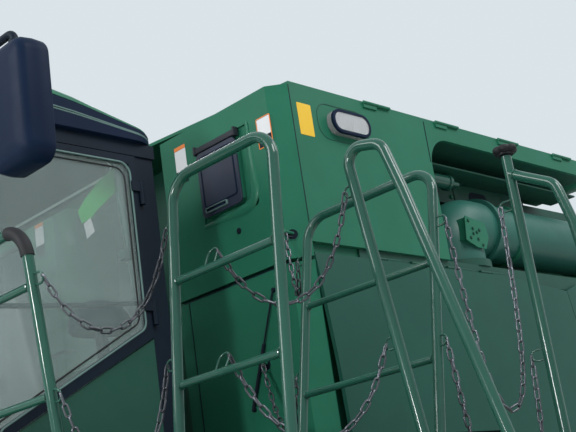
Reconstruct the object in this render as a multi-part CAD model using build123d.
from build123d import *
import math
import os

# Combine harvester with a lifting feeder house, a grain tank, a folding unloading auger and a
# left landing with guard rails, chains and a boarding ladder. Millimetres and degrees.
# Machine frame while modelling: X to the machine's left, Y to the rear, Z up,
# the front axle over Y = 0 and the ground at Z = 0. The finished pieces are then moved so
# that the origin lies on the ground under the middle of the whole machine.

# Wheels and axles
wheelbase = 3600.0
front_tyre_radius = 975.0
front_tyre_width = 710.0
front_wheel_x = 1560.0
front_rim_radius = 533.0
front_rim_width = 600.0
front_lug_height = 45.0
front_lug_count = 14
rear_tyre_radius = 720.0
rear_tyre_width = 540.0
rear_wheel_x = 1420.0
rear_rim_radius = 356.0
rear_rim_width = 440.0
rear_lug_height = 36.0
rear_lug_count = 12
rim_sheet = 12.0
rim_lip = 26.0
lug_turn = 0.25
tyre_facets = 24
tyre_seat_gap = 0.3
front_hub_radius = 230.0
front_hub_x = 1300.0
rear_hub_radius = 130.0
rear_hub_x = 1265.0
king_pin_x = 1060.0
king_pin_radius = 55.0
yoke_reach = 130.0
steer_arm_length = 260.0
steer_limit = 38.0
tie_rod_radius = 22.0
tie_rod_drop = 40.0

# Lower body
body_half_width = 780.0
body_front_y = -560.0
body_rear_y = 4300.0
body_top_z = 2000.0
deck_base_z = 2450.0
tank_rear_y = 2650.0
shoe_bottom_z = 900.0
axle_seat_z = 1180.0
rear_bottom_z = 1480.0

# Tank and side panels
side_x = 1500.0
skin = 25.0
panel_front_y = -310.0
tank_front_y = 60.0
tank_top_z = 3900.0
belt_z = 3050.0
wall = 20.0
cabinet_inner_x = 550.0
cabinet_door_y = -400.0
cabinet_chamfer = 85.0
alcove_front_y = 820.0
alcove_back_x = 950.0
alcove_top_z = 3805.0
alcove_corner = 190.0
cover_rise = 115.0
cover_peak_z = tank_top_z + cover_rise
cover_sheet = 18.0
seat_gap = 0.3
panel_gap = 5.0
knuckle_radius = 9.0
knuckle_length = 110.0
hinge_stations = 4
hinge_offset = 10.0

# Lower side shields, bulged outwards
shield_front_y = panel_front_y + panel_gap
shield_split_y = 2005.0
shield_top_z = 2995.0
shield_low_z = 1150.0
shield_bulge = 60.0
shield_sheet = 22.0
shield_hinge_x = side_x - shield_sheet
shield_pin_x = shield_hinge_x + hinge_offset
shield_pin_z = shield_top_z + hinge_offset
cover_pin_x = side_x + hinge_offset
cover_pin_z = tank_top_z + seat_gap + cover_sheet / 2
shield_open = 80.0
wheel_arch_z = 2080.0
cooling_sill_z = 2400.0

# Stretches of the shields' and the covers' long hinges
front_hinge_y = (tank_front_y + 40, 1380.0)
rear_hinge_y = (shield_split_y + 165, body_rear_y - 40)

# Engine deck
hood_top_z = 3480.0
hood_sheet = 25.0
hood_ribs = 6
hood_rib = 18.0
cooling_front_y = tank_rear_y + 150
cooling_rear_y = 4150.0
cooling_top_z = 3385.0
sill_hinge_y = (cooling_front_y + 40, cooling_rear_y - 40)
screen_radius = 440.0
screen_depth = 60.0
screen_spokes = 6
screen_y = (cooling_front_y + cooling_rear_y) / 2
screen_z = 2900.0
stack_y = tank_rear_y + 1150
cleaner_y = tank_rear_y + 500

# Unloading auger
auger_x = 1275.0
auger_y = 1180.0
auger_radius = 185.0
auger_sheet = 8.0
auger_bend = 225.0
auger_collar_z = 3095.0
auger_length = 4300.0
auger_swing_limit = 100.0
spout_length = 420.0
elbow_plate_x = 1478.0

# Cab
cab_half_width = 1000.0
cab_rear_y = -850.0
cab_door_front_y = -1940.0
cab_nose_low_y = -2560.0
cab_nose_high_y = -2700.0
cab_floor_z = 2000.0
cab_floor_top_z = 2060.0
cab_glass_top_z = 3575.0
roof_band_z = 3645.0
roof_top_z = 3850.0
roof_overhang = 40.0
roof_shoulder = 90.0
roof_slope_y = -1400.0
roof_tail_z = 3680.0
roof_lamps = 6
roof_lamp_radius = 48.0
roof_lamp_reach = 6.0
post = 50.0
glass = 8.0
door_open = 80.0
door_gap = 5.0
door_border = 45.0
door_hinges_z = (2720.0, 3320.0)
door_knuckle = 13.0
door_pin_x = cab_half_width + 18.0
door_pin_y = cab_rear_y - 100.0
door_sheet = 26.0

# Landing, rails and ladder
base_front_y = -2250.0
base_low_z = 1870.0
landing_z = 1840.0
landing_sheet = 40.0
landing_front_y = -2060.0
landing_rear_y = -840.0
landing_outer_x = 2500.0
rail_radius = 21.0
rail_bend = 110.0
rail_top_z = 3050.0
rail_bars_z = (2635.0, 2240.0)
handrail_z = 3035.0
post_x = 2715.0
ladder_top_x = 2660.0
ladder_front_y = -1150.0
ladder_rear_y = -400.0
ladder_low_z = 430.0
ladder_steps = 5
ladder_lean = 15.0
step_depth = 200.0
link_pitch = 43.0
link_width = 21.0
link_wire = 6.5
link_gap = 0.3
eye_length = 24.0
eye_wire = 8.0

# Feeder house and its lift
feeder_pivot_y = -650.0
feeder_pivot_z = 1480.0
feeder_pin_radius = 25.0
feeder_half_width = 700.0
feeder_height = 640.0
feeder_length = 2050.0
feeder_slope = 20.0
feeder_sheet = 20.0
feeder_ribs = 5
feeder_rib = 14.0
feeder_low = -9.0
feeder_high = 12.0
face_thickness = 60.0
lift_x = 560.0
lift_rear_y = -260.0
lift_rear_z = 760.0
lift_reach = 1070.0
lift_drop = feeder_height / 2 + 85
lift_barrel_radius = 58.0
lift_bore_radius = 47.0
lift_rod_radius = 32.0
lift_barrel_length = 760.0

# Rear end
hood_rear_y = 5280.0
chopper_rear_y = 5150.0
disc_radius = 320.0
disc_x = 370.0
disc_y = 5520.0
disc_z = 1180.0
rear_support_half = 260.0
rear_beam_z = 720.0
rear_beam_half = 95.0
tow_pin_radius = 16.5

# The middle of the whole machine's plan, between its outermost points
mirror_reach = 1930.0
mirror_y = -2115.0
ladder_rise = landing_z - 5 - ladder_low_z
ladder_reach = ladder_top_x + step_depth + ladder_rise * math.tan(math.radians(ladder_lean))
origin_x = (ladder_reach - mirror_reach) / 2
roof_front_y = cab_nose_high_y - 3 * roof_overhang
spout_end_y = auger_y + auger_bend + 30 + auger_length + spout_length
origin_y = (roof_front_y + spout_end_y) / 2


# Plain shapes
def block(x0, x1, y0, y1, z0, z1):
    return Pos((x0 + x1) / 2, (y0 + y1) / 2, (z0 + z1) / 2) * Box(x1 - x0, y1 - y0, z1 - z0)


def across(outline_yz, x0, x1):
    """A side outline of (y, z) points, drawn out from x0 to x1."""
    return extrude(Plane.YZ.offset(x0) * Polygon(*outline_yz, align=None), x1 - x0, dir=(1, 0, 0))


def along(outline_xz, y0, y1):
    """A cross outline of (x, z) points, drawn out from y0 to y1."""
    return extrude(Plane.XZ.offset(-y0) * Polygon(*outline_xz, align=None), y1 - y0, dir=(0, 1, 0))


def upright(outline_xy, z0, z1):
    """A plan outline of (x, y) points, drawn out from z0 to z1."""
    return extrude(Plane.XY.offset(z0) * Polygon(*outline_xy, align=None), z1 - z0, dir=(0, 0, 1))


def rod(start, end, radius):
    """A round bar from point to point."""
    line = Vector(*end) - Vector(*start)
    return extrude(Plane(origin=start, z_dir=line) * Circle(radius), line.length)


def pipe(start, end, radius, bore):
    line = Vector(*end) - Vector(*start)
    return extrude(Plane(origin=start, z_dir=line) * (Circle(radius) - Circle(bore)), line.length)


def bent_tube(points, radius, bends):
    """A round tube along straight runs joined by arcs."""
    path = FilletPolyline(*points, radius=bends)
    section = Plane(origin=path @ 0, z_dir=path % 0) * Circle(radius)
    return sweep(section, path=path)


def both_sides(shape):
    """The shape and its mirror image on the machine's right."""
    return [shape, mirror(shape, about=Plane.YZ)]


# Long hinges
def knuckles(x, z, y0, y1, moving):
    """Round knuckles on the line through x and z, every second one on the piece that moves."""
    pitch = (y1 - y0) / hinge_stations
    rods = []
    for index in range(hinge_stations):
        y = y0 + pitch * (index + 0.5)
        start = y + 1 if moving else y - 1 - knuckle_length
        rods.append(rod((x, start, z), (x, start + knuckle_length, z), knuckle_radius))
    return rods


def knuckle_tabs(x, z, y0, y1, moving, x0, x1, z0, z1):
    """The same knuckles with flat tabs that reach from x0 to x1 and z0 to z1 off the pin's line."""
    pieces = []
    for barrel in knuckles(x, z, y0, y1, moving):
        box = barrel.bounding_box()
        low_x, high_x = sorted((x + x0, x + x1))
        pieces.append(barrel + block(low_x, high_x, box.min.Y, box.max.Y, z + z0, z + z1))
    return pieces


# Wheels
def faceted(stations):
    """A ring body of flat facets through (x, radius) stations."""
    sections = [Plane.YZ.offset(x) * RegularPolygon(radius, tyre_facets) for x, radius in stations]
    return loft(sections, ruled=True)


def tyre(x, y, radius, width, rim_radius, rim_width, lug_height, lug_count):
    """A ribbed traction tyre about the line through (y, radius): faceted carcass and slanted lugs."""
    bead = (rim_radius + tyre_seat_gap) / math.cos(math.pi / tyre_facets)
    crown = radius - lug_height
    half = width / 2
    tread = 0.86 * half
    half_rim = rim_width / 2 - rim_sheet - tyre_seat_gap
    toe = bead + rim_lip + 6
    belly = bead + 0.55 * (crown - bead)
    carcass = faceted([(-half, belly), (-tread, crown), (tread, crown), (half, belly)])
    for side in (-1, 1):
        carcass -= faceted([(side * half_rim, toe), (side * (half + 1), belly + 3)])
    carcass -= faceted([(-half, bead), (half, bead)])
    pitch = 2 * math.pi * crown / lug_count
    lug_width = 0.20 * pitch
    slant = 0.32 * pitch
    reach = (slant + lug_width) / 2
    low = crown - 2 * lug_height
    tip = math.sqrt(radius ** 2 - reach ** 2)
    bar = Polygon((-0.03 * width, -reach), (0.44 * width, slant - reach), (0.44 * width, reach),
                  (-0.03 * width, 0.8 * lug_width - reach), align=None)
    lug = extrude(Plane.XY.offset(low) * bar, tip - low, dir=(0, 0, 1))
    lugs = []
    for side in (0, 1):
        one = mirror(lug, about=Plane.YZ) if side else lug
        for index in range(lug_count):
            lugs.append(Rot(360 * (index + 0.5 * side + lug_turn) / lug_count, 0, 0) * one)
    return Pos(x, y, radius) * carcass.fuse(*lugs)


def rim(x, y, z, radius, width, hub_radius, hub_x, outward):
    """A wheel rim: barrel with turned flanges and a dished disc bolted to the hub."""
    half = width / 2
    lip = radius + rim_lip
    disc = (hub_x - x) * outward
    outline = Polygon(
        (-half, lip), (-half + rim_sheet, lip), (-half + rim_sheet, radius), (half - rim_sheet, radius),
        (half - rim_sheet, lip), (half, lip), (half, radius - rim_sheet),
        (disc + 75 + rim_sheet, radius - rim_sheet), (disc + rim_sheet, 0.62 * radius), (disc + rim_sheet, 45),
        (disc, 45), (disc, 0.62 * radius + 6), (disc + 75, radius - rim_sheet), (-half, radius - rim_sheet),
        align=None)
    turned = revolve(Plane.XY * outline, Axis.X)
    if outward < 0:
        turned = mirror(turned, about=Plane.YZ)
    return Pos(x, y, z) * turned


# Axles
def front_axle():
    """Transmission beam between the drive wheels with drop housings and wheel hubs."""
    hub = front_hub_radius * 0.8
    beam = block(-body_half_width - 60, body_half_width + 60, -190, 190, front_tyre_radius - 120, axle_seat_z)
    housings = []
    for side in (-1, 1):
        inner = side * (body_half_width + 40)
        housings.append(rod((inner, 0, front_tyre_radius),
                            (side * (front_hub_x - 110), 0, front_tyre_radius), 210))
        housings.append(rod((side * (front_hub_x - 120), 0, front_tyre_radius),
                            (side * front_hub_x, 0, front_tyre_radius), hub))
    brackets = []
    for side in (-1, 1):
        x = side * lift_x
        for ear in (-1, 1):
            x0 = x + ear * (lift_barrel_radius + 4) - (0 if ear > 0 else 20)
            brackets.append(across([(-180, 700), (-180, 1100), (-330, 800), (-330, 700)], x0, x0 + 20))
    return beam.fuse(*housings, *brackets)


def rear_axle():
    """Steered axle beam hung on a centre pivot, with a king pin yoke at each end."""
    inner = king_pin_x - yoke_reach
    beam = block(-inner, inner, wheelbase - 90, wheelbase + 90, rear_beam_z - rear_beam_half,
                 rear_beam_z + rear_beam_half)
    yokes = []
    for side in (-1, 1):
        x0, x1 = sorted((side * inner, side * (king_pin_x + 55)))
        for z0 in (rear_beam_z + 80, rear_beam_z - 115):
            yokes.append(block(x0, x1, wheelbase - 60, wheelbase + 60, z0, z0 + 35))
    pedestal = []
    for y0 in (wheelbase - 190, wheelbase + 110):
        pedestal.append(across([(y0, rear_beam_z - 20), (y0 + 80, rear_beam_z - 20), (y0 + 80, rear_bottom_z),
                                (y0, rear_bottom_z)], -rear_support_half, rear_support_half))
    pivot = rod((0, wheelbase - 150, rear_beam_z), (0, wheelbase + 150, rear_beam_z), 60)
    drawbar = block(-70, 70, wheelbase + 190, wheelbase + 420, rear_beam_z - 20, rear_beam_z + 15)
    pin_y = wheelbase + 360
    drawbar -= rod((0, pin_y, rear_beam_z - 100), (0, pin_y, rear_beam_z + 100), tow_pin_radius)
    return beam.fuse(*yokes, *pedestal, pivot, drawbar)


def knuckle(side):
    """King pin, stub axle and steering arm of one rear wheel."""
    x = side * king_pin_x
    low = rear_beam_z - 115 + 35 + seat_gap
    high = rear_beam_z + 80 - seat_gap
    barrel = rod((x, wheelbase, low), (x, wheelbase, high), king_pin_radius)
    spindle = rod((x + side * 20, wheelbase, rear_tyre_radius),
                  (side * rear_hub_x, wheelbase, rear_tyre_radius), 50)
    hub = rod((side * (rear_hub_x - 90), wheelbase, rear_tyre_radius), (side * rear_hub_x, wheelbase,
              rear_tyre_radius), rear_hub_radius)
    arm = block(x - 30, x + 30, wheelbase + 20, wheelbase + steer_arm_length + 35, low, low + 30)
    return barrel.fuse(spindle, hub, arm)


def tie_rod():
    """Rod that joins both steering arms behind the axle."""
    y = wheelbase + steer_arm_length
    z = rear_beam_z - 115 + 35 - tie_rod_drop
    bar = rod((-king_pin_x, y, z), (king_pin_x, y, z), tie_rod_radius)
    studs = []
    for side in (-1, 1):
        studs.append(rod((side * king_pin_x, y, z), (side * king_pin_x, y, z + tie_rod_drop), 18))
    return bar.fuse(*studs)


# Lower body
def main_body():
    """Threshing and separating body with the cleaning shoe below and the engine deck behind."""
    outline = [(body_front_y, 1340), (body_front_y, body_top_z), (tank_rear_y, body_top_z),
               (tank_rear_y, deck_base_z), (body_rear_y, deck_base_z), (body_rear_y, rear_bottom_z),
               (2900, rear_bottom_z), (2620, shoe_bottom_z), (640, shoe_bottom_z), (460, axle_seat_z),
               (-300, axle_seat_z)]
    body = across(outline, -body_half_width, body_half_width)
    hangers = []
    for side in (-1, 1):
        x0, x1 = sorted((side * (feeder_half_width + 6), side * (feeder_half_width + 36)))
        hangers.append(block(x0, x1, feeder_pivot_y - 50, body_front_y,
                             feeder_pivot_z - 70, feeder_pivot_z + 70))
        hangers.append(rod((side * (feeder_half_width - 40), feeder_pivot_y, feeder_pivot_z),
                           (side * (feeder_half_width + 36), feeder_pivot_y, feeder_pivot_z),
                           feeder_pin_radius))
    return body.fuse(*hangers)


# Grain tank
def grain_tank():
    """Hopper with sloping lower walls, the auger alcove on the left and raised end gables."""
    outer_x = side_x - skin
    lip = tank_top_z
    outer = along([(-outer_x, lip), (-outer_x, belt_z), (-body_half_width, 2400),
                   (-body_half_width, body_top_z), (body_half_width, body_top_z),
                   (body_half_width, 2400), (outer_x, belt_z), (outer_x, lip)],
                  tank_front_y, tank_rear_y)
    inner_x = outer_x - wall
    inner = along([(-inner_x, lip), (-inner_x, belt_z + 12), (-400, 2120), (400, 2120),
                   (inner_x, belt_z + 12), (inner_x, lip)], tank_front_y + wall, tank_rear_y - wall)
    alcove = alcove_room(alcove_back_x, side_x, belt_z)
    alcove_shell = block(alcove_back_x - wall, side_x, alcove_front_y - wall, tank_rear_y,
                         2300, alcove_top_z + wall)
    gable_corners = [(-outer_x, lip), (0, cover_peak_z - 12), (outer_x, lip)]
    gable = along(gable_corners, tank_front_y, tank_front_y + wall)
    rear_gable = along(gable_corners, tank_rear_y - wall, tank_rear_y)
    collar = pipe((auger_x, auger_y, belt_z), (auger_x, auger_y, auger_collar_z - seat_gap),
                  auger_radius + 30, auger_radius - 30)
    return (outer - (inner - alcove_shell) - alcove).fuse(gable, rear_gable, collar)


def alcove_room(x0, x1, z0):
    """The space along the tank that the folded auger lies in, round at its front upper corner."""
    room = block(x0, x1, alcove_front_y, tank_rear_y + 1, z0, alcove_top_z)
    corner = room.edges().filter_by(Axis.X).group_by(Axis.Y)[0].sort_by(Axis.Z)[-1]
    return fillet(corner, alcove_corner)


def tank_skins():
    """Outer side panels with the covers' hinges; the left one opens round the auger's alcove."""
    skins = []
    for side in (1, -1):
        x0, x1 = sorted((side * (side_x - skin), side * side_x))
        panel = block(x0, x1, panel_front_y, tank_rear_y, belt_z, tank_top_z)
        if side > 0:
            panel -= alcove_room(side_x - skin - 1, side_x + 1, belt_z - 1)
        hinge = knuckle_tabs(side * cover_pin_x, cover_pin_z, tank_front_y, tank_rear_y, False,
                             -side * hinge_offset, 0, -30, 0)
        skins.append(panel.fuse(*hinge))
    return skins


def hinge_rails():
    """Rails along the tank and the deck that carry the shields' upper edges."""
    face = shield_hinge_x - seat_gap
    back = side_x - skin - 35
    low = shield_top_z - 35
    slope = (belt_z - 2400) / (side_x - skin - body_half_width)
    outline = [(face, low), (face, belt_z), (side_x - skin, belt_z), (back, belt_z - 35 * slope), (back, low)]
    front = along(outline, tank_front_y, tank_rear_y)
    rear = along([(face, low), (face, belt_z - hood_sheet), (back, belt_z - hood_sheet), (back, low)],
                 tank_rear_y, body_rear_y)
    reach = (face - shield_pin_x, 0, -knuckle_radius, knuckle_radius)
    front_tabs = knuckle_tabs(shield_pin_x, shield_pin_z, *front_hinge_y, False, *reach)
    rear_tabs = knuckle_tabs(shield_pin_x, shield_pin_z, *rear_hinge_y, False, *reach)
    sill_low, sill_high = cooling_sill_z - 35, cooling_sill_z + 5
    sill = along([(-shield_inner_x(sill_low) + seat_gap, sill_low),
                  (-shield_inner_x(cooling_sill_z) + seat_gap, cooling_sill_z),
                  (-side_x + skin, cooling_sill_z), (-side_x + skin, sill_high), (-back, sill_high),
                  (-back, sill_low)],
                 cooling_front_y, cooling_rear_y)
    pin = (-shield_inner_x(cooling_sill_z) - hinge_offset, cooling_sill_z + hinge_offset)
    sill_tabs = knuckle_tabs(*pin, *sill_hinge_y, False, 30, 0, -knuckle_radius, knuckle_radius)
    sill_feet = knuckle_tabs(*pin, *sill_hinge_y, False, 30, hinge_offset + seat_gap, -hinge_offset, 0)
    return [front.fuse(rear, *front_tabs, *rear_tabs), mirror(front.fuse(*front_tabs), about=Plane.YZ),
            sill.fuse(*sill_tabs, *sill_feet)]


def front_cabinets():
    """Closed cabinets at the tank's front corners, each with an upper and a lower door slab."""
    pieces = []
    for side in (-1, 1):
        x0, x1 = sorted((side * cabinet_inner_x, side * (side_x - skin)))
        box = block(x0, x1, panel_front_y, tank_front_y, belt_z, tank_top_z)
        n0, n1 = sorted((side * cabinet_inner_x, side * (side_x - skin - 10)))
        box += block(n0, n1, panel_front_y, tank_front_y, cab_floor_top_z, belt_z)
        plan = [(side * cabinet_inner_x, panel_front_y), (side * cabinet_inner_x, cabinet_door_y),
                (side * (side_x - cabinet_chamfer), cabinet_door_y),
                (side * side_x, cabinet_door_y + cabinet_chamfer), (side * side_x, panel_front_y)]
        upper = upright(plan, 2975, tank_top_z)
        lower = upright(plan, cab_floor_top_z, 2955)
        upper -= block(*sorted((side * 845, side * 1265)), cabinet_door_y, cabinet_door_y + 12, 3310, 3760)
        pieces += [box.fuse(upper, lower, *locker_lid(side))]
    for chain, x, z in ((6, 1438, 3100), (7, 1161, 2509)):
        pieces[1] = pieces[1].fuse(chain_eye((x, cabinet_door_y + 45, z), chain, False))
    return pieces


def locker_lid(side):
    """Lid in the upper door's recess with its hinge strip on top."""
    y = cabinet_door_y
    x0, x1 = sorted((side * 858, side * 1172))
    lid = block(x0, x1, y - 14, y + 12, 3352, 3720)
    lid = chamfer(lid.edges().filter_by(Axis.Y), 24)
    return [lid, block(x0, x1, y - 22, y + 12, 3724, 3752)]


def tank_cover(side):
    """One of two roof lids that meet over the middle of the tank."""
    outer_x = side * (side_x - 3)
    mid_x = side * 3
    low = tank_top_z + seat_gap
    peak = cover_peak_z - 10
    lid = along([(outer_x, low), (side * (side_x - skin), low), (mid_x, peak), (mid_x, peak + cover_sheet),
                 (outer_x, low + cover_sheet)], panel_front_y + 6, tank_rear_y)
    hinge = knuckle_tabs(side * cover_pin_x, cover_pin_z, tank_front_y, tank_rear_y, True,
                         -side * (hinge_offset + 3), 0, -cover_sheet / 2, cover_sheet / 2)
    return lid.fuse(*hinge)


# Side shields
def shield_inner_x(z):
    """How far out the bulged sheet's inner face lies at a height."""
    top, low = (side_x - shield_sheet, shield_top_z), (side_x + 20 - shield_sheet, shield_low_z)
    mid = (side_x + shield_bulge - shield_sheet, 0.6 * shield_low_z + 0.4 * shield_top_z)
    sheet_arc = ThreePointArc(top, mid, low)
    centre = sheet_arc.arc_center
    return centre.X + math.sqrt(sheet_arc.radius ** 2 - (z - centre.Y) ** 2)


def shield_sheet_shape(side, y0, y1):
    """Bulged sheet between two stations along the machine."""
    top = (side * side_x, shield_top_z)
    low = (side * (side_x + 20), shield_low_z)
    mid = (side * (side_x + shield_bulge), 0.6 * shield_low_z + 0.4 * shield_top_z)
    top_in, low_in, mid_in = ((x - side * shield_sheet, z) for x, z in (top, low, mid))
    face = make_face([ThreePointArc(top, mid, low), Line(low, low_in), ThreePointArc(low_in, mid_in, top_in),
                      Line(top_in, top)])
    return extrude(Plane.XZ.offset(-y0) * face, y1 - y0, dir=(0, 1, 0))


def shield_front(side):
    """Shield over the drive wheel with its arch."""
    outline = [(shield_front_y, shield_top_z), (shield_front_y, wheel_arch_z), (900, wheel_arch_z),
               (1060, 1900), (1100, shield_low_z), (shield_split_y, shield_low_z), (shield_split_y, 2942),
               (1400, shield_top_z)]
    sheet = shield_sheet_shape(side, shield_front_y, shield_split_y) & across(outline, -1700, 1700)
    return sheet.fuse(*shield_hinge(side, side * shield_pin_x, shield_pin_z, front_hinge_y))


def shield_rear(side):
    """Shield over the steered wheel, lower on the right below the cooling box."""
    start = shield_split_y + panel_gap
    top = shield_top_z if side > 0 else cooling_sill_z
    outline = [(start, shield_low_z), (start, min(2945, top)), (start + 140, top), (body_rear_y, top),
               (body_rear_y, 1900), (4200, 1560), (2860, 1560), (2700, shield_low_z)]
    sheet = shield_sheet_shape(side, start, body_rear_y) & across(outline, -1700, 1700)
    if side > 0:
        hinge = shield_hinge(side, shield_pin_x, shield_pin_z, rear_hinge_y)
    else:
        hinge = shield_hinge(side, -shield_inner_x(cooling_sill_z) - hinge_offset,
                             cooling_sill_z + hinge_offset, sill_hinge_y)
    return sheet.fuse(*hinge)


def shield_hinge(side, x, z, stations_y):
    reach = side * (knuckle_radius - 0.5)
    return knuckle_tabs(x, z, *stations_y, True, -reach, reach, -hinge_offset, 0)


# Engine deck
def engine_block():
    return block(-430, 430, tank_rear_y + 200, tank_rear_y + 1350, deck_base_z, 3250)


def engine_hood():
    """Cover over the engine with the ledge under the auger on the left."""
    out = side_x - skin
    s = hood_sheet
    outer = [(-out, 3000), (-out, hood_top_z - 90), (-out + 90, hood_top_z), (alcove_back_x - 60, hood_top_z),
             (alcove_back_x, hood_top_z - 60), (alcove_back_x, belt_z), (out, belt_z), (out, belt_z - s)]
    inner = [(alcove_back_x - s, belt_z - s), (alcove_back_x - s, hood_top_z - 70),
             (alcove_back_x - 70, hood_top_z - s), (-out + 100, hood_top_z - s), (-out + s, hood_top_z - 100),
             (-out + s, 3000)]
    shell = along(outer + inner, tank_rear_y, body_rear_y)
    shell -= block(-out, -900, cooling_front_y, cooling_rear_y, 2990, cooling_top_z)
    rear_wall = along([(-out + s, deck_base_z), (-out + s, hood_top_z - 100), (-out + 100, hood_top_z - s),
                       (alcove_back_x - 70, hood_top_z - s), (alcove_back_x - s, hood_top_z - 70),
                       (alcove_back_x - s, deck_base_z)], body_rear_y - s, body_rear_y)
    ribs = []
    for index in range(hood_ribs):
        y = tank_rear_y + 120 + index * 70
        ribs.append(block(-760, -300, y, y + 30, hood_top_z - s, hood_top_z + hood_rib))
    return shell.fuse(rear_wall, auger_saddle(), *ribs)


def cooling_box():
    """Radiator housing on the right with a round opening for the rotary screen."""
    out = side_x - skin
    box = block(-out, -900, cooling_front_y, cooling_rear_y, cooling_sill_z + 5, cooling_top_z)
    box += block(-900, -body_half_width, cooling_front_y, cooling_rear_y, cooling_sill_z + 5, deck_base_z)
    box -= rod((-out - 1, screen_y, screen_z), (-out + screen_depth, screen_y, screen_z), screen_radius + 12)
    return box


# Unloading auger
def auger_elbow():
    """Turning elbow from the standing tube to the long tube."""
    z1 = auger_collar_z + 25
    flange = pipe((auger_x, auger_y, auger_collar_z), (auger_x, auger_y, z1), auger_radius + 30,
                  auger_radius - auger_sheet)
    arc = RadiusArc((auger_y, z1), (auger_y + auger_bend, z1 + auger_bend), auger_bend)
    path = Plane.YZ.offset(auger_x) * arc
    ring = Circle(auger_radius) - Circle(auger_radius - auger_sheet)
    bend = sweep(Plane(origin=path @ 0, z_dir=path % 0) * ring, path=path)
    y1 = auger_y + auger_bend
    z = z1 + auger_bend
    joint = pipe((auger_x, y1, z), (auger_x, y1 + 30, z), auger_radius + 28, auger_radius - auger_sheet)
    bracket = across([(auger_y - 60, z1 + 40), (auger_y - 60, z1 + 165), (auger_y + 100, z1 + 190),
                      (auger_y + 100, z1 + 20)], auger_x + auger_radius - 40, elbow_plate_x)
    bracket -= sweep(Plane(origin=path @ 0, z_dir=path % 0) * Circle(auger_radius - auger_sheet), path=path)
    return flange.fuse(bend, joint, bracket)


def auger_tube():
    y0 = auger_y + auger_bend + 30
    z = auger_collar_z + 25 + auger_bend
    tube = pipe((auger_x, y0, z), (auger_x, y0 + auger_length, z), auger_radius, auger_radius - auger_sheet)
    flange = pipe((auger_x, y0, z), (auger_x, y0 + 30, z), auger_radius + 28, auger_radius)
    return tube.fuse(flange)


def auger_spout():
    """Down-turned rubber spout at the tube's end."""
    y0 = auger_y + auger_bend + 30 + auger_length
    z = auger_collar_z + 25 + auger_bend
    r = auger_radius
    hood = across([(y0, z - r - 12), (y0, z + r + 12), (y0 + 260, z + r + 12), (y0 + spout_length, z - 40),
                   (y0 + spout_length - 30, z - r - 160), (y0 + 120, z - r - 160)], auger_x - r - 12,
                  auger_x + r + 12)
    hollow = across([(y0 - 1, z - r), (y0 - 1, z + r), (y0 + 254, z + r), (y0 + spout_length - 14, z - 44),
                     (y0 + spout_length - 44, z - r - 161), (y0 + 132, z - r - 161)],
                    auger_x - r, auger_x + r)
    return hood - hollow


def auger_saddle():
    """Cradle on the deck that the folded tube rests in."""
    z = auger_collar_z + 25 + auger_bend
    y0 = body_rear_y - 160
    plate = block(auger_x - 160, auger_x + 160, y0, y0 + 60, belt_z, z - 60)
    return plate - rod((auger_x, y0 - 1, z), (auger_x, y0 + 61, z), auger_radius + seat_gap)


# Cab
def nose(half_width, side_y, nose_y, z):
    """Plan outline of the cab's curved front and straight sides."""
    return Plane.XY.offset(z) * make_face([
        ThreePointArc((half_width, side_y), (0, nose_y), (-half_width, side_y)),
        Line((-half_width, side_y), (-half_width, cab_rear_y)),
        Line((-half_width, cab_rear_y), (half_width, cab_rear_y)),
        Line((half_width, cab_rear_y), (half_width, side_y)),
    ])


def cab_base():
    """Platform under the cab, carried by the body's front."""
    plate = block(-cab_half_width, cab_half_width, base_front_y, body_front_y, base_low_z, cab_floor_z)
    sills = []
    for side in (-1, 1):
        x0, x1 = sorted((side * (feeder_half_width + 60), side * cab_half_width))
        sills.append(block(x0, x1, base_front_y, body_front_y, landing_z - landing_sheet - 10, base_low_z))
    floor = extrude(nose(cab_half_width, cab_door_front_y - post, cab_nose_low_y, cab_floor_z),
                    cab_floor_top_z - cab_floor_z, dir=(0, 0, 1))
    inner = cab_half_width - 100
    rear_wall = block(-inner, inner, cab_rear_y - 50, cab_rear_y, cab_floor_top_z, 2660)
    return [plate.fuse(*sills, floor, rear_wall, *cab_side_panels())]


def cab_frame():
    """Door posts, rear posts, top ring and the green side panels under the slanted glass edge."""
    w = cab_half_width
    pieces = []
    for side in (-1, 1):
        x0, x1 = sorted((side * (w - post), side * w))
        front = block(x0, x1, cab_door_front_y - post, cab_door_front_y, cab_floor_top_z, cab_glass_top_z)
        rear = block(*sorted((side * (w - 100), side * w)), cab_rear_y - 110, cab_rear_y, cab_floor_top_z,
                     cab_glass_top_z)
        pieces += [front, rear]
    for z in door_hinges_z:
        pieces.append(rod((door_pin_x, door_pin_y, z), (door_pin_x, door_pin_y, z + 60), door_knuckle))
        pieces.append(block(w - 10, door_pin_x, door_pin_y - 10, door_pin_y + 10, z, z + 60))
    band = extrude(roof_outline(10, cab_glass_top_z), roof_band_z - cab_glass_top_z, dir=(0, 0, 1))
    return band.fuse(*pieces)


def side_panel_outline(gap):
    """The green panel below the slanted lower edge of the side glass."""
    y0 = cab_door_front_y
    y1 = cab_rear_y - 110
    return [(y0, cab_floor_top_z), (y0, 2090 - gap), (-1862, 2090 - gap), (-1785, 2205 - gap),
            (y1, 2655 - gap), (y1, cab_floor_top_z)]


def cab_side_panels():
    return both_sides(across(side_panel_outline(0), cab_half_width - 40, cab_half_width))


def cab_door():
    """Glazed left door with a slanted lower rear edge, hinged on the cab's rear post."""
    x0 = cab_half_width - 14
    frame = across(door_outline(door_gap), x0, x0 + door_sheet)
    frame -= across(door_outline(door_gap + door_border), x0 - 1, x0 + door_sheet + 1)
    x, y = door_pin_x, door_pin_y
    knuckles = []
    for z in door_hinges_z:
        knuckle = rod((x, y, z + 60 + seat_gap), (x, y, z + 120), door_knuckle)
        strap = block(x - 6, x + 6, cab_rear_y - 160, y, z + 65, z + 115)
        knuckles.append(knuckle + strap)
    return frame.fuse(*knuckles)


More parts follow.
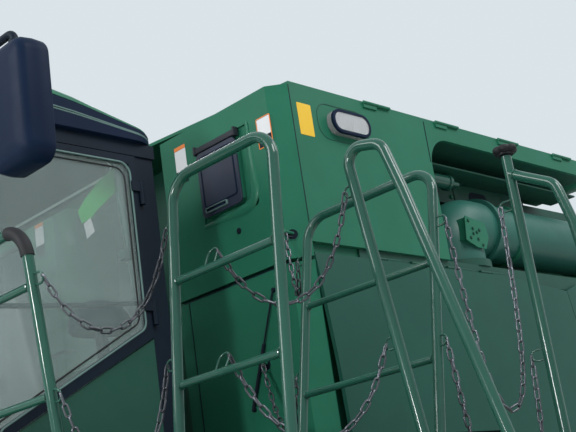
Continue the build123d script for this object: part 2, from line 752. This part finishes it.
def door_outline(inset):
    y0 = cab_door_front_y + inset
    y1 = cab_rear_y - 110 - inset
    top = cab_glass_top_z - inset
    return [(y0, 2090 + inset), (y0, top), (y1, top), (y1, 2655 + inset), (-1785 - 0.3 * inset, 2205 + inset),
            (-1862 - 0.3 * inset, 2090 + inset)]


def door_glass():
    x0 = cab_half_width - 14 + (door_sheet - glass) / 2
    return across(door_outline(door_gap + door_border + seat_gap), x0, x0 + glass)


def cab_glass():
    """Curved windscreen, right side pane and rear pane."""
    w = cab_half_width
    y = cab_door_front_y - post
    screens = []
    lower = windscreen_ring(w, y, cab_nose_low_y, cab_floor_top_z)
    upper = windscreen_ring(w, y, cab_nose_high_y, cab_glass_top_z)
    screens.append(loft([lower, upper], ruled=True))
    right_outline = door_outline(0)
    screens.append(across(right_outline, -w + 10, -w + 10 + glass))
    screens.append(block(-w + 100, w - 100, cab_rear_y - 40, cab_rear_y - 40 + glass, 2660, cab_glass_top_z))
    return screens


def windscreen_ring(half_width, side_y, nose_y, z):
    outer = ThreePointArc((half_width, side_y), (0, nose_y), (-half_width, side_y))
    inner = ThreePointArc((half_width - glass, side_y), (0, nose_y + glass), (-half_width + glass, side_y))
    return Plane.XY.offset(z) * make_face([outer, Line((-half_width, side_y), (-half_width + glass, side_y)),
                                           inner, Line((half_width - glass, side_y), (half_width, side_y))])


def roof_outline(grow, z):
    w = cab_half_width + grow
    side_y = cab_door_front_y - post - grow
    rear = cab_rear_y + grow
    return Plane.XY.offset(z) * make_face([
        ThreePointArc((w, side_y), (0, cab_nose_high_y - 3 * grow), (-w, side_y)),
        Line((-w, side_y), (-w, rear)), Line((-w, rear), (w, rear)), Line((w, rear), (w, side_y))])


def cab_roof():
    rim_z = roof_top_z - roof_shoulder
    lower = extrude(roof_outline(roof_overhang, roof_band_z), rim_z - roof_band_z, dir=(0, 0, 1))
    rim = roof_outline(roof_overhang, rim_z)
    upper = loft([rim, roof_outline(roof_overhang - 110, roof_top_z)], ruled=True)
    rear = cab_rear_y + roof_overhang
    tail = across([(roof_slope_y, roof_top_z), (roof_slope_y, roof_top_z + 50), (rear + 50, roof_top_z + 50),
                   (rear + 50, roof_tail_z)],
                  -cab_half_width - 2 * roof_overhang, cab_half_width + 2 * roof_overhang)
    return (lower + upper - tail).fuse(*roof_lamp_rods())


def roof_lamp_rods():
    """Round work lamps along the roof's curved front."""
    front = cab_nose_high_y - 3 * roof_overhang
    half = cab_half_width + roof_overhang
    depth = cab_door_front_y - post - roof_overhang - front
    radius = (half ** 2 + depth ** 2) / (2 * depth)
    centre_y = front + radius
    z = (roof_band_z + roof_top_z - roof_shoulder) / 2
    rods = []
    for index in range(roof_lamps):
        angle = math.radians(20 * (index - (roof_lamps - 1) / 2))
        near, far = radius - 40, radius + roof_lamp_reach
        rods.append(rod((near * math.sin(angle), centre_y - near * math.cos(angle), z),
                        (far * math.sin(angle), centre_y - far * math.cos(angle), z), roof_lamp_radius))
    return rods


def seat():
    """Operator's seat with backrest, headrest and base."""
    base = block(-190, 190, -1560, -1180, cab_floor_top_z, 2330)
    cushion = block(-260, 260, -1650, -1130, 2330 + seat_gap, 2480)
    back = across([(-1240, 2480 + seat_gap), (-1130, 2480 + seat_gap), (-1010, 3120), (-1110, 3120)],
                  -250, 250)
    console = block(-520, -300, -1800, -1250, cab_floor_top_z, 2700)
    console = chamfer(console.faces().sort_by(Axis.Z)[-1].edges(), 30)
    cushion = chamfer(cushion.faces().sort_by(Axis.Z)[-1].edges(), 35)
    back = chamfer(back.faces().sort_by(Axis.Z)[-1].edges(), 35)
    return [base, cushion, back, console]


def steering_column():
    column = rod((0, -2220, cab_floor_top_z - 60), (0, -2030, 2790), 45)
    column -= block(-100, 100, -2400, -1900, cab_floor_z - 100, cab_floor_top_z)
    tilt = Pos(0, -2030, 2790) * Rot(25, 0, 0)
    wheel = tilt * revolve(Plane.XZ * Pos(190, 0) * RegularPolygon(15, 6), Axis.Z)
    spoke = tilt * Box(380, 30, 16)
    return column.fuse(wheel, spoke)


def mirrors():
    """Mirror heads on arms from the roof band's front corners."""
    y = cab_door_front_y - 10
    inner, low, high = mirror_reach - 280, 3020, 3500
    arm = bent_tube([(cab_half_width + 10, y, 3610), (cab_half_width + 110, y, 3610),
                     (1480, mirror_y, 3610), (inner + 150, mirror_y, 3590),
                     (inner + 150, mirror_y, high - 60)], 16, 40)
    head = block(inner, mirror_reach, mirror_y - 65, mirror_y + 65, low, high)
    head = fillet(head.edges().filter_by(Axis.Y), 70)
    return both_sides(arm.fuse(head))


# Landing and guard rails
def landing():
    deck = block(cab_half_width, landing_outer_x, landing_front_y, landing_rear_y, landing_z - landing_sheet,
                 landing_z)
    beam = block(landing_outer_x, landing_outer_x + 60, landing_front_y, landing_rear_y, landing_z - 110,
                 landing_z)
    bridge = block(landing_outer_x + 60, ladder_top_x, ladder_front_y + 30, landing_rear_y,
                   landing_z - landing_sheet, landing_z - 5)
    return deck.fuse(beam, bridge)


def chain_eye(tube_point, index, last):
    """A welded eye that a chain's end link bears on."""
    start, end, count = chain_rows[index]
    points = hanging(start, end, count * link_pitch)
    seat, inward = (points[-1], points[-2] - points[-1]) if last else (points[0], points[1] - points[0])
    inward = inward.normalized()
    frame = Plane(origin=seat - inward * (eye_length / 2 + link_gap), x_dir=inward,
                  z_dir=inward.cross(Vector(0, 0, 1)))
    stem = rod(tube_point, tuple(frame.origin), eye_wire)
    return stem.fuse(frame.location * Box(eye_length, link_width, eye_wire))


def hoop(x0, x1, foot_y, top_y, top_z, foot_z):
    """A bent tube rail in a plane that leans along the machine, with two crossbars."""
    def at(x, z):
        return (x, foot_y + (top_y - foot_y) * (z - foot_z) / (top_z - foot_z), z)
    frame = bent_tube([at(x0, foot_z), at(x0, top_z), at(x1, top_z), at(x1, foot_z)], rail_radius, rail_bend)
    bars = [rod(at(x0, z), at(x1, z), rail_radius * 0.72) for z in rail_bars_z]
    ground = block(x0 - 60, x1 + 60, foot_y - 200, foot_y + 200, foot_z - 200, foot_z)
    return frame.fuse(*bars) - ground


def landing_rails():
    """Three hoops: by the door's front, at the landing's middle and at its rear."""
    # rows: inner x, outer x, y at the foot, y at the top, top z
    rows = [(1055, 1750, -2003, -2109, 2850), (1914, 2478, -1658, -1528, rail_top_z),
            (1725, 2458, -868, -571, rail_top_z)]
    hoops = [hoop(x0, x1, foot, top, z, landing_z) for x0, x1, foot, top, z in rows]

    def on_hoop(row, x, z):
        _, _, foot, top, top_z = rows[row]
        return (x, foot + (top - foot) * (z - landing_z) / (top_z - landing_z), z)

    # rows: hoop, x and z of the weld, chain, whether its last link
    eyes = [(0, 1750, 2652, 0, False), (0, 1750, 2238, 1, False), (1, 1914, 2858, 0, True),
            (1, 1914, 2328, 1, True), (1, 2035, rail_bars_z[0], 2, False),
            (1, 2055, rail_bars_z[1], 3, False), (2, 2458, 2803, 4, False),
            (2, 2458, 2306, 5, False), (2, 1725, 2868, 6, True), (2, 1725, 2326, 7, True)]
    for row, x, z, chain, last in eyes:
        hoops[row] = hoops[row].fuse(chain_eye(on_hoop(row, x, z), chain, last))
    return hoops


def ladder():
    """Boarding ladder with channel stringers, treads and two looped handrails."""
    run = math.tan(math.radians(ladder_lean))
    top = landing_z - 115

    def x_at(z):
        return ladder_top_x + (landing_z - 5 - z) * run

    pieces = []
    for y in (ladder_front_y, ladder_rear_y):
        outline = [(x_at(landing_z - 5), landing_z - 5), (x_at(landing_z - 5) + step_depth, landing_z - 5),
                   (x_at(ladder_low_z) + step_depth, ladder_low_z), (x_at(ladder_low_z), ladder_low_z)]
        pieces.append(along(outline, y - 20, y + 20))
    for index in range(ladder_steps):
        z = ladder_low_z + 30 + index * (top - ladder_low_z) / ladder_steps
        pieces.append(block(x_at(z) + 10, x_at(z) + step_depth - 10, ladder_front_y, ladder_rear_y,
                            z - 18, z + 18))
    pieces.append(block(ladder_top_x, ladder_top_x + step_depth, ladder_front_y, ladder_rear_y,
                        landing_z - landing_sheet, landing_z - 5))
    # The front handrail is one looped tube; the rear one is a post with a bent branch
    y = ladder_front_y
    foot_x, inner_x, foot_z = 2640, 2484, landing_z - 60
    loop = [(foot_x, y, foot_z), (inner_x, y, handrail_z), (2660, y, 2990), (2720, y, 2790), (3046, y, 1540),
            (x_at(1150) + 120, y, 1150)]
    pieces.append(bent_tube(loop, rail_radius, 70))
    pieces.append(block(foot_x - rail_radius, foot_x + 60, y - 20, y + 20, foot_z - 30, foot_z + 10))
    y = ladder_rear_y
    pieces.append(rod((post_x, y, foot_z), (post_x, y, handrail_z), rail_radius))
    branch = [(post_x, y, 2958), (2905, y, 2852), (2947, y, 2680), (3070, y, 1540),
              (x_at(1150) + 120, y, 1150)]
    pieces.append(bent_tube(branch, rail_radius, 70))

    # rows: y, x at the foot, x at the top, z of the weld, chain
    welds = [(ladder_front_y, foot_x, inner_x, 2864, 2), (ladder_front_y, foot_x, inner_x, 2265, 3),
             (ladder_rear_y, post_x, post_x, 2830, 4), (ladder_rear_y, post_x, post_x, 2210, 5)]
    for y, low_x, top_x, z, chain in welds:
        x = low_x + (top_x - low_x) * (z - foot_z) / (handrail_z - foot_z)
        pieces.append(chain_eye((x, y, z), chain, True))
    return pieces[0].fuse(*pieces[1:])


def hanging(start, end, length):
    """Joint points of a chain of this length that hangs between two points."""
    p, q = Vector(*start), Vector(*end)
    flat = math.hypot(q.X - p.X, q.Y - p.Y)
    rise = q.Z - p.Z
    target = math.sqrt(length ** 2 - rise ** 2)
    low, high = flat / 60, flat * 100
    for _ in range(80):
        middle = math.sqrt(low * high)
        if 2 * middle * math.sinh(flat / (2 * middle)) > target:
            low = middle
        else:
            high = middle
    shape = low
    bottom = flat / 2 - shape * math.atanh(rise / length)
    first = shape * math.sinh(-bottom / shape)
    height = shape * math.cosh(bottom / shape)
    points = []
    count = round(length / link_pitch)
    for index in range(count + 1):
        reach = first + length * index / count
        run = bottom + shape * math.asinh(reach / shape)
        z = shape * math.cosh((run - bottom) / shape) - height
        points.append(p + Vector((q.X - p.X) * run / flat, (q.Y - p.Y) * run / flat, z))
    return points


# rows: start, end, number of links
chain_rows = [
    ((1816, -2086, 2652), (1870, -1548, 2858), 20),
    ((1804, -2045, 2238), (1854, -1605, 2328), 20),
    ((2132, -1540, 2700), (2454, -1150, 2864), 20),
    ((2166, -1580, 2300), (2524, -1150, 2265), 21),
    ((2521, -633, 2803), (2650, -420, 2830), 39),
    ((2506, -758, 2306), (2650, -420, 2210), 40),
    ((1438, -430, 3095), (1663, -617, 2868), 14),
    ((1161, -430, 2504), (1681, -753, 2326), 20),
]


def guard_chains():
    """Hanging chains across the rails' gaps: flat links, each turned from the last."""
    links = []
    flat_link = Box(link_pitch - link_gap, link_width, link_wire)
    for start, end, count in chain_rows:
        points = hanging(start, end, count * link_pitch)
        for index, (a, b) in enumerate(zip(points, points[1:])):
            line = b - a
            level = Vector(0, 0, 1).cross(line)
            side = level if index % 2 else line.cross(level)
            frame = Plane(origin=(a + b) / 2, x_dir=line, z_dir=line.cross(side))
            links.append(frame.location * flat_link)
    return links


# Feeder house, modelled in its slanted frame: x across, u down the slope, w up from the slope
def feeder_plane():
    angle = math.radians(feeder_slope)
    return Plane(origin=(0, feeder_pivot_y, feeder_pivot_z), x_dir=(1, 0, 0),
                 z_dir=(0, -math.sin(angle), math.cos(angle)))


def in_feeder(shape):
    return feeder_plane().location * shape


def feeder_house():
    """Open duct for the crop with side plates, top and floor."""
    w, h, s = feeder_half_width, feeder_height / 2, feeder_sheet
    outer = block(-w, w, -feeder_length, -150, -h, h)
    hollow = block(-w + s, w - s, -feeder_length - 1, -150 + 1, -h + s, h - s)
    ears = []
    for x0 in (-w, w - 25):
        ear = block(x0, x0 + 25, -160, 0, -60, 60) + rod((x0, 0, 0), (x0 + 25, 0, 0), 60)
        ears.append(ear - rod((x0 - 1, 0, 0), (x0 + 26, 0, 0), feeder_pin_radius + seat_gap))
    lugs = []
    for side in (-1, 1):
        for ear in (-1, 1):
            x0 = side * lift_x + ear * (lift_rod_radius + 14) - (0 if ear > 0 else 18)
            lugs.append(block(x0, x0 + 18, -lift_reach - 90, -lift_reach + 90, -h - 150, -h))
    ribs = []
    for index in range(feeder_ribs):
        u = -feeder_length + 160 + index * (feeder_length - 700) / feeder_ribs
        for x0 in (-w - feeder_rib, w):
            ribs.append(block(x0, x0 + feeder_rib, u, u + 40, -h + 40, h))
        ribs.append(block(-w, w, u, u + 40, h, h + feeder_rib))
    return in_feeder((outer - hollow).fuse(*ears, *lugs, *ribs))


def feeder_face():
    """Upright frame round the mouth that a header hangs on."""
    w, h = feeder_half_width + 60, feeder_height / 2 + 70
    plate = block(-w, w, -feeder_length - face_thickness, -feeder_length, -h, h)
    mouth = block(-feeder_half_width + 20, feeder_half_width - 20, -feeder_length - face_thickness - 1,
                  -feeder_length + 1, -feeder_height / 2 + 20, feeder_height / 2 - 20)
    hooks = []
    front = -feeder_length - face_thickness + 8
    for x0 in (-w + 60, w - 200):
        hooks.append(across([(-feeder_length, h), (-feeder_length, h + 70), (front + 12, h + 90),
                             (front, h + 60), (front, h)], x0, x0 + 140))
    return in_feeder((plate - mouth).fuse(*hooks))


def feeder_conveyor():
    """Front drum with three strands of slats inside the duct."""
    w = feeder_half_width - feeder_sheet - 8
    y = -feeder_length + 230
    drum = rod((-w, y, 0), (w, y, 0), 160)
    reach = feeder_half_width - feeder_sheet - seat_gap
    drum += rod((-reach, y, 0), (reach, y, 0), 35)
    slats = []
    for index in range(6):
        for level in (-182, 160):
            y0 = y + 40 + index * 270
            slats.append(block(-w + 20, w - 20, y0, y0 + 30, level, level + 22))
    strands = []
    for x in (-w + 60, -15, w - 90):
        for level in (-166, 150):
            strands.append(block(x, x + 30, y, y + 1550, level, level + 16))
    return in_feeder(drum.fuse(*slats, *strands))


# Lift cylinders
def lift_points(side):
    angle = math.radians(feeder_slope)
    reach, drop = lift_reach, lift_drop
    y = feeder_pivot_y - reach * math.cos(angle) + drop * math.sin(angle)
    z = feeder_pivot_z - reach * math.sin(angle) - drop * math.cos(angle)
    return (side * lift_x, lift_rear_y, lift_rear_z), (side * lift_x, y, z)


def lift_barrel(side):
    rear, eye = (Vector(*p) for p in lift_points(side))
    line = (eye - rear).normalized()
    start = rear + line * 40
    end = rear + line * lift_barrel_length
    tube = rod(tuple(start), tuple(end), lift_barrel_radius)
    tube -= rod(tuple(rear + line * 90), tuple(end + line), lift_bore_radius)
    half = lift_barrel_radius + 4 - seat_gap
    knob = rod((side * lift_x - half, *tuple(rear)[1:]), (side * lift_x + half, *tuple(rear)[1:]), 45)
    return tube.fuse(knob)


def lift_rod(side):
    rear, eye = (Vector(*p) for p in lift_points(side))
    line = (eye - rear).normalized()
    bar = rod(tuple(rear + line * 380), tuple(eye), lift_rod_radius)
    piston = rod(tuple(rear + line * 380), tuple(rear + line * 430), lift_bore_radius - 1)
    half = lift_rod_radius + 14 - seat_gap
    knob = rod((side * lift_x - half, *tuple(eye)[1:]), (side * lift_x + half, *tuple(eye)[1:]), 40)
    return bar.fuse(piston, knob)


# Rear end
def rear_hood():
    outline = [(body_rear_y, 1500), (body_rear_y, 2995), (4700, 2995), (5120, 2760), (hood_rear_y, 2250),
               (hood_rear_y, 1650), (chopper_rear_y, 1500)]
    section = [(-860, 1500), (-860, 2935), (-800, 2995), (800, 2995), (860, 2935), (860, 1500)]
    return across(outline, -860, 860) & along(section, body_rear_y, hood_rear_y)


def chopper():
    outline = [(4420, 1500), (4420, 1250), (4620, 1060), (4980, 1060), (chopper_rear_y, 1250),
               (chopper_rear_y, 1500)]
    return across(outline, -800, 800).fuse(spreader_frame())


def spreader_frame():
    """Tailboard plate over the spreading discs, hung on the chopper's rear."""
    plate = across([(chopper_rear_y, 1250), (chopper_rear_y, 1420), (5900, 1330), (5900, 1310),
                    (5250, 1330)], -780, 780)
    foot_z = disc_z + 40 + seat_gap
    motors = [rod((x, disc_y, foot_z), (x, disc_y, 1330), 60) for x in (-disc_x, disc_x)]
    return plate.fuse(*motors)


def spreader_disc(side):
    disc = rod((side * disc_x, disc_y, disc_z), (side * disc_x, disc_y, disc_z + 8), disc_radius)
    hub = rod((side * disc_x, disc_y, disc_z - 30), (side * disc_x, disc_y, disc_z + 40), 50)
    paddles = []
    for index in range(4):
        place = Pos(side * disc_x, disc_y, disc_z) * Rot(0, 0, 90 * index)
        paddles.append(place * block(60, disc_radius - 5, -4, 4, -70, 0))
    return disc.fuse(hub, *paddles)


def rear_ladder():
    x = 860
    pieces = [block(x, x + 50, y, y + 30, 1500, 3300) for y in (4560, 4960)]
    for index in range(6):
        z = 1560 + index * 290
        pieces.append(block(x + 5, x + 45, 4590, 4960, z, z + 30))
    return pieces[0].fuse(*pieces[1:])


def rotary_screen():
    x = -(side_x - skin)
    back = x + screen_depth - seat_gap
    disc = rod((back, screen_y, screen_z), (x + 12, screen_y, screen_z), screen_radius)
    hub = rod((back, screen_y, screen_z), (x + 2, screen_y, screen_z), 70)
    spokes = []
    for index in range(screen_spokes):
        spoke = block(x + 5, x + 20, -15, 15, 0, screen_radius - 5)
        spokes.append(Pos(0, screen_y, screen_z) * Rot(360 * index / screen_spokes, 0, 0) * spoke)
    return disc.fuse(hub, *spokes)


def exhaust_stack():
    pot = rod((-250, stack_y, hood_top_z), (-250, stack_y, hood_top_z + 140), 130)
    stack = rod((-250, stack_y, hood_top_z + 120), (-250, stack_y, hood_top_z + 410), 75)
    return pot.fuse(stack)


def air_cleaner():
    body = rod((380, cleaner_y, hood_top_z), (380, cleaner_y, hood_top_z + 220), 170)
    cap = rod((380, cleaner_y, hood_top_z + 210), (380, cleaner_y, hood_top_z + 320), 220)
    return body.fuse(cap)


def work_lights():
    """Oval lamps high on the tank's sides."""
    base = block(side_x, side_x + 34, -50, 250, 3668, 3800)
    return both_sides(fillet(base.edges().filter_by(Axis.X), 60))


def lamps():
    """Work lamps on the tank and tail lamps on the rear hood."""
    return work_lights() + both_sides(block(700, 840, hood_rear_y, hood_rear_y + 30, 1850, 2150))


# All nodes, name and shape
def solids_of(shape):
    return list(shape) if isinstance(shape, (list, tuple)) else [shape]


front_wheel = (0, front_tyre_radius, front_tyre_width, front_rim_radius, front_rim_width, front_lug_height,
               front_lug_count)
rear_wheel = (wheelbase, rear_tyre_radius, rear_tyre_width, rear_rim_radius, rear_rim_width, rear_lug_height,
              rear_lug_count)

nodes = {
    "main_body": main_body(),
    "front_axle": front_axle(),
    "rear_axle": rear_axle(),
    "tie_rod": tie_rod(),
    "grain_tank": grain_tank(),
    "tank_skins": tank_skins(),
    "hinge_rails": hinge_rails(),
    "front_cabinets": front_cabinets(),
    "tank_cover_left": tank_cover(1),
    "tank_cover_right": tank_cover(-1),
    "engine_block": engine_block(),
    "engine_hood": engine_hood(),
    "cooling_box": cooling_box(),
    "rotary_screen": rotary_screen(),
    "engine_stacks": [exhaust_stack(), air_cleaner()],
    "auger_elbow": auger_elbow(),
    "auger_tube": auger_tube(),
    "auger_spout": auger_spout(),
    "cab_base": cab_base(),
    "cab_frame": cab_frame(),
    "cab_glass": cab_glass(),
    "cab_roof": cab_roof(),
    "door_frame": cab_door(),
    "door_glass": door_glass(),
    "seat": seat(),
    "steering_column": steering_column(),
    "mirrors": mirrors(),
    "landing": landing(),
    "landing_rails": landing_rails(),
    "ladder": ladder(),
    "guard_chains": guard_chains(),
    "feeder_house": feeder_house(),
    "feeder_face": feeder_face(),
    "feeder_conveyor": feeder_conveyor(),
    "rear_hood": rear_hood(),
    "chopper": chopper(),
    "rear_ladder": rear_ladder(),
    "lamps": lamps(),
}
for side, name in ((1, "left"), (-1, "right")):
    nodes[f"shield_front_{name}"] = shield_front(side)
    nodes[f"shield_rear_{name}"] = shield_rear(side)
    nodes[f"lift_barrel_{name}"] = lift_barrel(side)
    nodes[f"lift_rod_{name}"] = lift_rod(side)
    nodes[f"knuckle_{name}"] = knuckle(side)
    nodes[f"spreader_disc_{name}"] = spreader_disc(side)

for side, name in ((1, "left"), (-1, "right")):
    nodes[f"tyre_front_{name}"] = tyre(side * front_wheel_x, *front_wheel)
    nodes[f"rim_front_{name}"] = rim(side * front_wheel_x, 0, front_tyre_radius, front_rim_radius,
                                     front_rim_width, front_hub_radius, side * front_hub_x, side)
    nodes[f"tyre_rear_{name}"] = tyre(side * rear_wheel_x, *rear_wheel)
    nodes[f"rim_rear_{name}"] = rim(side * rear_wheel_x, wheelbase, rear_tyre_radius, rear_rim_radius,
                                    rear_rim_width, rear_hub_radius, side * rear_hub_x, side)

os.makedirs("parts", exist_ok=True)
for name, shape in nodes.items():
    pieces = []
    for piece in solids_of(shape):
        pieces += piece.solids()
    whole = pieces[0] if len(pieces) == 1 else Compound(children=pieces)
    export_step(Pos(-origin_x, -origin_y, 0) * whole, f"parts/{name}.step")
